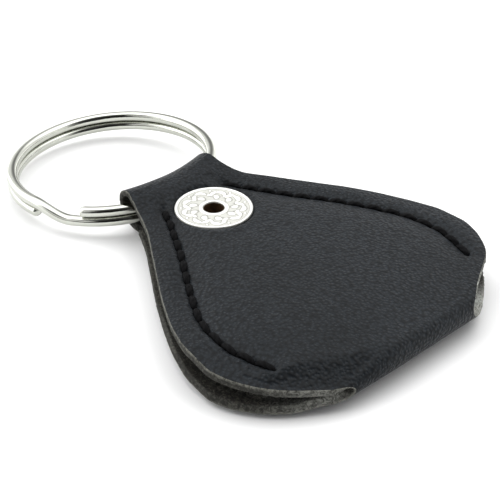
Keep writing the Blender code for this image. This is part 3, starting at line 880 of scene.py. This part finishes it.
def build_leather_body(materials):
    """Curl, front panel, fold and back panel as one sheet of leather."""
    outer, panels, thickness = leather_rows()
    normals = grid_normals(outer)
    drift = 0.07 * wander(outer, 9.0, 1.0) + 0.025 * wander(outer, 3.0, 2.0)
    quiet = ease((np.hypot(outer[:, :, 0], outer[:, :, 1]) - 6.5) / 3.0)
    seen = ((panels == FRONT) | (panels == FOLD))[:, None]
    outer = outer - normals * (drift * quiet * seen)[:, :, None]
    inner = outer + normals * thickness[:, None, None]
    line = mouth_outline()
    keep = whole_cells(outer, panels, line)
    for i, j in zip(*np.nonzero(touched(~keep))):
        shift = shift_to_cut(outer[i, j], panels[i], line)
        outer[i, j] += shift
        inner[i, j] += shift
    body = leather_shell("pouch_leather", outer, inner, keep, materials)
    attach(body, "pouch")
    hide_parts("leather_body")


def build_closure_tab(materials):
    """Strap from the curl to its rounded end under the snap."""
    start = LOOP_Y - 0.01
    straight = list(np.linspace(start, TAB_END + TAB_HALF, 46))
    turn = [TAB_END + TAB_HALF - TAB_HALF * math.sin(a)
            for a in np.linspace(0.0, math.radians(86.0), 26)[1:]]
    spread = np.sin(np.linspace(-TAB_SPREAD, TAB_SPREAD, 41)) / math.sin(TAB_SPREAD)
    rows = []
    for y in straight + turn:
        half = CURL_HALF_END + (TAB_HALF - CURL_HALF_END) * float(ease((start - y) / 8.0))
        bend = TAB_END + TAB_HALF - y
        if bend > 0.0:
            half = math.sqrt(TAB_HALF ** 2 - bend ** 2)
        xs = half * spread
        z = np.full_like(xs, float(tab_height(y)))
        rows.append(np.stack([xs, np.full_like(xs, y), z], axis=1))
    outer = np.array(rows)
    inner = outer + np.array([0.0, 0.0, LEATHER])
    keep = np.ones((outer.shape[0] - 1, outer.shape[1] - 1), dtype=bool)
    tab = leather_shell("closure_tab_leather", outer, inner, keep, materials)
    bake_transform(tab)
    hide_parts("closure_tab")


# ---------------------------------------------------------------- stitching
def strand_section(turn, radius):
    """Cross-section of a strand of three twisted plies."""
    section = []
    for i in range(18):
        a = 2.0 * math.pi * i / 18
        r = radius * (1.0 - PLY_DEPTH + PLY_DEPTH * abs(math.cos(1.5 * (a - turn))))
        section.append((r * math.cos(a), r * THREAD_FLAT * math.sin(a)))
    return section


def ply_levels(section):
    """0 in the grooves between the plies, 1 on top of a ply."""
    sizes = [math.hypot(a, b / THREAD_FLAT) for a, b in section]
    top = max(sizes)
    return [(size / top - 1.0 + PLY_DEPTH) / PLY_DEPTH for size in sizes]


def strand(k, side, face, slant, lift):
    """Points and sections of one stitch, from its hole over an arch to the next hole."""
    points = []
    sections = []
    for i in range(25):
        f = i / 24
        run = (k + f) * PITCH + 0.16 * (0.5 - f)
        x, y = seam_point(run)
        x2, y2 = seam_point(run + 0.05)
        d = math.hypot(x2 - x, y2 - y)
        off = slant * (2.0 * f - 1.0)
        px = x - (y2 - y) / d * off
        py = y + (x2 - x) / d * off
        arch = math.sin(math.pi * f) ** 0.30
        middle = front_height(py) if face > 0.0 else back_height(py)
        level = float(panel_height(px, py, middle, face)) - face * GROOVE_DEPTH
        if face > 0.0:
            level -= float(corner_sag(side * px, py))
        z = level + face * (-1.0 + (1.0 + 0.62 * THREAD_R + lift) * arch)
        points.append((float(drawn_in(side * px, py, face)), py, z))
        turn = side * (1.5 * f + 0.37 * k) * 4.0 * math.pi / 3.0
        sections.append(strand_section(turn, THREAD_R * (0.80 + 0.20 * arch)))
    return points, sections


def build_stitching(name, side, face, node, mat):
    """Lockstitch seen on one face: each strand rises from a hole and dives into the next."""
    rng = random.Random(31 + int(side) * 5 + int(face))
    verts = []
    faces = []
    ply = []
    for k in range(STITCHES):
        slant = 0.10 + 0.05 * rng.random()
        lift = 0.02 * rng.uniform(-1.0, 1.0)
        points, sections = strand(k, side, face, slant, lift)
        first = len(verts)
        new_verts, new_faces = sweep(points, [(0.0, 0.0, face)] * len(points), sections)
        verts += new_verts
        faces += [tuple(first + i for i in corners) for corners in new_faces]
        for section in sections:
            ply += ply_levels(section)
    obj = mesh_object(name, verts, faces, [mat], attributes={"ply": np.clip(ply, 0.0, 1.0)})
    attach(obj, "pouch")
    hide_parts(node)


# ---------------------------------------------------------------- snap fastener
def flower_relief(r, a):
    """Raised leaf scrolls of the flange, in mm above its ground."""
    height = np.zeros_like(r)
    rng = random.Random(5)
    for k in range(FLANGE_LEAVES):
        mid = 2.0 * math.pi * k / FLANGE_LEAVES + rng.uniform(-0.04, 0.04)
        for ring, turn, long, wide, shift, high in FLANGE_MOTIF:
            lean = mid + shift + turn + rng.uniform(-0.12, 0.12)
            px = r * np.cos(a) - ring * math.cos(mid + shift)
            py = r * np.sin(a) - ring * math.sin(mid + shift)
            u = px * math.cos(lean) + py * math.sin(lean)
            v = -px * math.sin(lean) + py * math.cos(lean)
            v = v - 0.35 * u * u * math.copysign(1.0, turn)
            blob = np.exp(-((u / long) ** 2 + (v / wide) ** 2) ** 1.5)
            height = np.maximum(height, high * blob * rng.uniform(0.85, 1.1))
    return height


def build_snap_post(satin, bore):
    """Hollow post: patterned flange on the front, rolled end under the stud."""
    radii = np.concatenate([np.linspace(POST_BORE, 2.4, 10), np.linspace(2.45, 5.35, 60),
                            np.linspace(5.4, FLANGE_R, 12)])
    lip = curve([(POST_BORE, -0.10), (1.72, 0.10), (1.95, 0.17), (2.2, 0.12), (2.42, 0.0),
                 (5.35, 0.0), (5.5, 0.05), (5.68, 0.18), (5.82, 0.20), (5.94, 0.12),
                 (FLANGE_R, -0.04)])
    under = [(FLANGE_R + 0.02, FLANGE_TOP - 0.12), (FLANGE_R - 0.02, FLANGE_TOP - 0.28),
             (FLANGE_R - 0.2, FLANGE_TOP - 0.36), (POST_R + 0.15, FLANGE_TOP - 0.36),
             (POST_R, FLANGE_TOP - 0.5), (POST_R, 3.05), (2.12, 2.98), (2.2, 2.86),
             (2.05, 2.74), (POST_BORE + 0.1, 2.74), (POST_BORE, 2.86),
             (POST_BORE, 5.0), (POST_BORE, FLANGE_TOP - 0.25)]
    angles = 2.0 * math.pi * np.arange(FLANGE_SEGMENTS) / FLANGE_SEGMENTS
    rr, aa = np.meshgrid(radii, angles)
    level = lip(rr) + flower_relief(rr, aa)
    verts = []
    depth = []
    for k, a in enumerate(angles):
        profile = [(r, FLANGE_TOP + h) for r, h in zip(radii, level[k])] + under
        verts += [(r * math.cos(a), r * math.sin(a), z) for r, z in profile]
        depth += list(np.clip(level[k] / 0.17, 0.0, 1.0)) + [0.5] * len(under)
    count = len(radii) + len(under)
    slots = ([0] * (count - 3) + [1] * 3) * FLANGE_SEGMENTS
    obj = mesh_object("snap_post_flange", verts, turned_faces(count, FLANGE_SEGMENTS),
                      [satin, bore], slots, attributes={"relief": depth})
    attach(obj, "pouch")
    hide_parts("snap_post")


def build_snap_parts(bright):
    """Stud on the pouch, socket and cap on the tab."""
    stud = [(1.95, 5.42), (4.7, 5.42), (4.85, 5.3), (4.8, 5.02), (4.6, 4.95), (2.35, 4.95),
            (2.2, 4.8), (2.2, 4.2), (2.2, 4.05), (2.42, 3.6), (2.45, 3.4), (2.3, 3.15),
            (2.15, 3.1), (1.95, 3.1)]
    socket = [(1.3, 2.32), (4.9, 2.32), (5.15, 2.5), (5.2, 2.8), (5.2, 4.3), (5.0, 4.55),
              (4.7, 4.62), (2.85, 4.62), (2.78, 4.5), (2.85, 4.36), (4.75, 4.36), (4.9, 4.2),
              (4.9, 2.9), (4.7, 2.62), (1.3, 2.62)]
    cap = [(0.3, 0.03), (4.3, 0.02), (4.9, 0.05), (5.3, 0.16), (5.55, 0.38), (5.6, 0.6),
           (5.5, 0.82), (5.3, 0.9), (1.1, 0.9), (1.1, 2.72), (1.62, 2.74), (1.62, 2.86),
           (1.1, 2.95), (0.3, 2.95)]
    for name, profile, body, node in (("snap_stud_head", stud, "pouch", "snap_stud"),
                                      ("snap_socket_cup", socket, "tab", "snap_socket"),
                                      ("snap_cap_dome", cap, "tab", "snap_cap")):
        obj = lathe_object(name, rounded(profile, closed=node != "snap_cap"), 128, [bright],
                           closed=node != "snap_cap")
        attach(obj, body)
        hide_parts(node)


# ---------------------------------------------------------------- split ring
def ring_tilt():
    """Tilt of the ring, from the loop down to its far side."""
    reach = 2.0 * RING_R - RING_OFFSET
    stack = 0.5 * (COIL_PITCH + WIRE_HIGH)
    tilt = 0.0
    for _ in range(20):
        tilt = math.asin((LOOP_Z - RING_CLEAR - stack * math.cos(tilt)) / reach)
    return tilt


def wire_section():
    """Slightly flattened round wire."""
    section = []
    for i in range(28):
        a = 2.0 * math.pi * i / 28
        c = math.cos(a)
        s = math.sin(a)
        section.append((0.5 * WIRE_WIDE * math.copysign(abs(c) ** 0.92, c),
                        0.5 * WIRE_HIGH * math.copysign(abs(s) ** 0.92, s)))
    return section


def build_split_ring(mat):
    """Two coils of one wire: lower coil, crank up to the next level, upper coil."""
    tilt = ring_tilt()
    centre = RING_R - RING_OFFSET
    lower = 360.0 - (CRANK_LOW - RING_LOW_END)
    crank = CRANK_LOW - CRANK_HIGH
    upper = 360.0 - (RING_HIGH_END - CRANK_HIGH)
    total = lower + crank + upper
    steps = 720
    section = wire_section()
    axis = (0.0, math.sin(tilt), math.cos(tilt))
    points = []
    sections = []
    for k in range(steps + 1):
        run = total * k / steps
        a = math.radians(RING_LOW_END - run)
        lift = COIL_PITCH * (float(ease((run - lower) / crank)) - 0.5)
        flat_x = RING_R * math.cos(a)
        flat_y = centre + RING_R * math.sin(a)
        points.append((flat_x, LOOP_Y + flat_y * math.cos(tilt) + lift * axis[1],
                       LOOP_Z - flat_y * math.sin(tilt) + lift * axis[2]))
        size = {0: 0.86, 1: 0.97}.get(min(k, steps - k), 1.0)
        sections.append([(u * size, v * size) for u, v in section])
    verts, faces = sweep(points, [axis] * len(points), sections)
    roll = Matrix.Rotation(math.radians(RING_ROLL), 3, "Y")
    pivot = Vector((0.0, 0.0, LOOP_Z))
    verts = [roll @ (Vector(v) - pivot) + pivot for v in verts]
    obj = mesh_object("split_ring_wire", verts, faces, [mat])
    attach(obj, "ring")
    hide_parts("split_ring")


# ---------------------------------------------------------------- stage
def build_floor():
    """Wide flat floor just under the pouch."""
    size = 3000.0
    verts = [(x * size, y * size, -0.03) for x, y in ((-1, -1), (1, -1), (1, 1), (-1, 1))]
    floor = mesh_object("floor", verts, [(0, 1, 2, 3)], [floor_material()], smooth=False)


def area_light(name, place, size, power):
    """Rectangular soft light that faces the object."""
    data = bpy.data.lights.new(name, "AREA")
    data.shape = "RECTANGLE"
    data.size = size[0]
    data.size_y = size[1]
    data.energy = power
    obj = link(bpy.data.objects.new(name, data))
    obj.location = place
    obj.rotation_euler = Vector(place).to_track_quat("Z", "Y").to_euler()


def toward(tree, direction, axis, limits, levels, both_ways=False):
    """Smooth level that depends on how far a direction points along an axis."""
    dot = tree.add("ShaderNodeVectorMath", operation="DOT_PRODUCT")
    tree.wire(direction, dot.inputs[0])
    dot.inputs[1].default_value = axis
    along = dot.outputs["Value"]
    if both_ways:
        along = tree.math("ABSOLUTE", along, 0.0)
    level = tree.add("ShaderNodeMapRange", interpolation_type="SMOOTHSTEP")
    tree.wire(along, level.inputs["Value"])
    for name, value in zip(("From Min", "From Max", "To Min", "To Max"), limits + levels):
        level.inputs[name].default_value = value
    return level.outputs["Result"]


def build_world():
    """White tent: bright overhead and at both sides, dark in its opening."""
    world = bpy.data.worlds.new("studio")
    bpy.context.scene.world = world
    tree = Tree(world)
    direction = tree.add("ShaderNodeTexCoord").outputs["Generated"]
    split = tree.add("ShaderNodeSeparateXYZ")
    tree.wire(direction, split.inputs[0])
    height = tree.ramp(split.outputs["Z"], [(at, (v, v, v)) for at, v in TENT_LEVELS])
    sides = toward(tree, direction, TENT_SIDE_AXIS, (0.05, 0.38), (0.0, TENT_SIDES),
                   both_ways=True)
    shade = toward(tree, direction, TENT_OPENING, (0.50, 0.80), (1.0, TENT_SHADE))
    level = tree.math("MULTIPLY", tree.math("ADD", height, sides), shade)
    background = tree.tree.nodes["Background"]
    tree.wire(level, background.inputs["Color"])
    background.inputs["Strength"].default_value = TENT_STRENGTH


def build_lights():
    """Tent and two soft boxes."""
    build_world()
    area_light("back_softbox", (-0.30, 0.48, 0.30), (0.90, 0.50), 1.5)
    area_light("side_softbox", (-0.45, -0.02, 0.28), (0.30, 0.26), 0.22)
    bpy.context.scene.view_settings.view_transform = "Standard"


def build_camera():
    """Camera at its azimuth, elevation and roll, looking at the target."""
    azimuth = math.radians(VIEW_AZIMUTH)
    elevation = math.radians(VIEW_ELEVATION)
    roll = math.radians(VIEW_ROLL)
    back = Vector((math.sin(azimuth) * math.cos(elevation),
                   -math.cos(azimuth) * math.cos(elevation), math.sin(elevation)))
    right = Vector((math.cos(azimuth), math.sin(azimuth), 0.0))
    up = back.cross(right)
    turned_right = math.cos(roll) * right + math.sin(roll) * up
    turned_up = back.cross(turned_right)
    data = bpy.data.cameras.new("view_camera")
    data.lens = VIEW_LENS
    data.sensor_width = 36.0
    camera = link(bpy.data.objects.new("view_camera", data))
    place = (Vector(VIEW_TARGET) + back * VIEW_DISTANCE) * MM
    camera.matrix_world = Matrix.Translation(place) @ Matrix(
        (turned_right, turned_up, back)).transposed().to_4x4()
    bpy.context.scene.camera = camera


# ---------------------------------------------------------------- build
def main():
    """Stage first, then the pieces from the leather outward."""
    build_camera()
    build_floor()
    build_lights()
    leather = [grain_leather(), flesh_leather(), cut_leather()]
    build_leather_body(leather)
    build_closure_tab(leather)
    thread = black_thread()
    for face, level in ((1.0, "top"), (-1.0, "bottom")):
        for side, hand in ((-1.0, "left"), (1.0, "right")):
            build_stitching("stitching_" + level + "_" + hand, side, face,
                            "seam_thread_" + level + "_" + hand, thread)
    bright = bright_metal()
    build_snap_post(satin_metal(), tarnished_bore())
    build_snap_parts(bright)
    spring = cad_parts["snap_spring"]
    spring.data.materials.clear()
    spring.data.materials.append(spring_metal())
    build_split_ring(bright)


main()
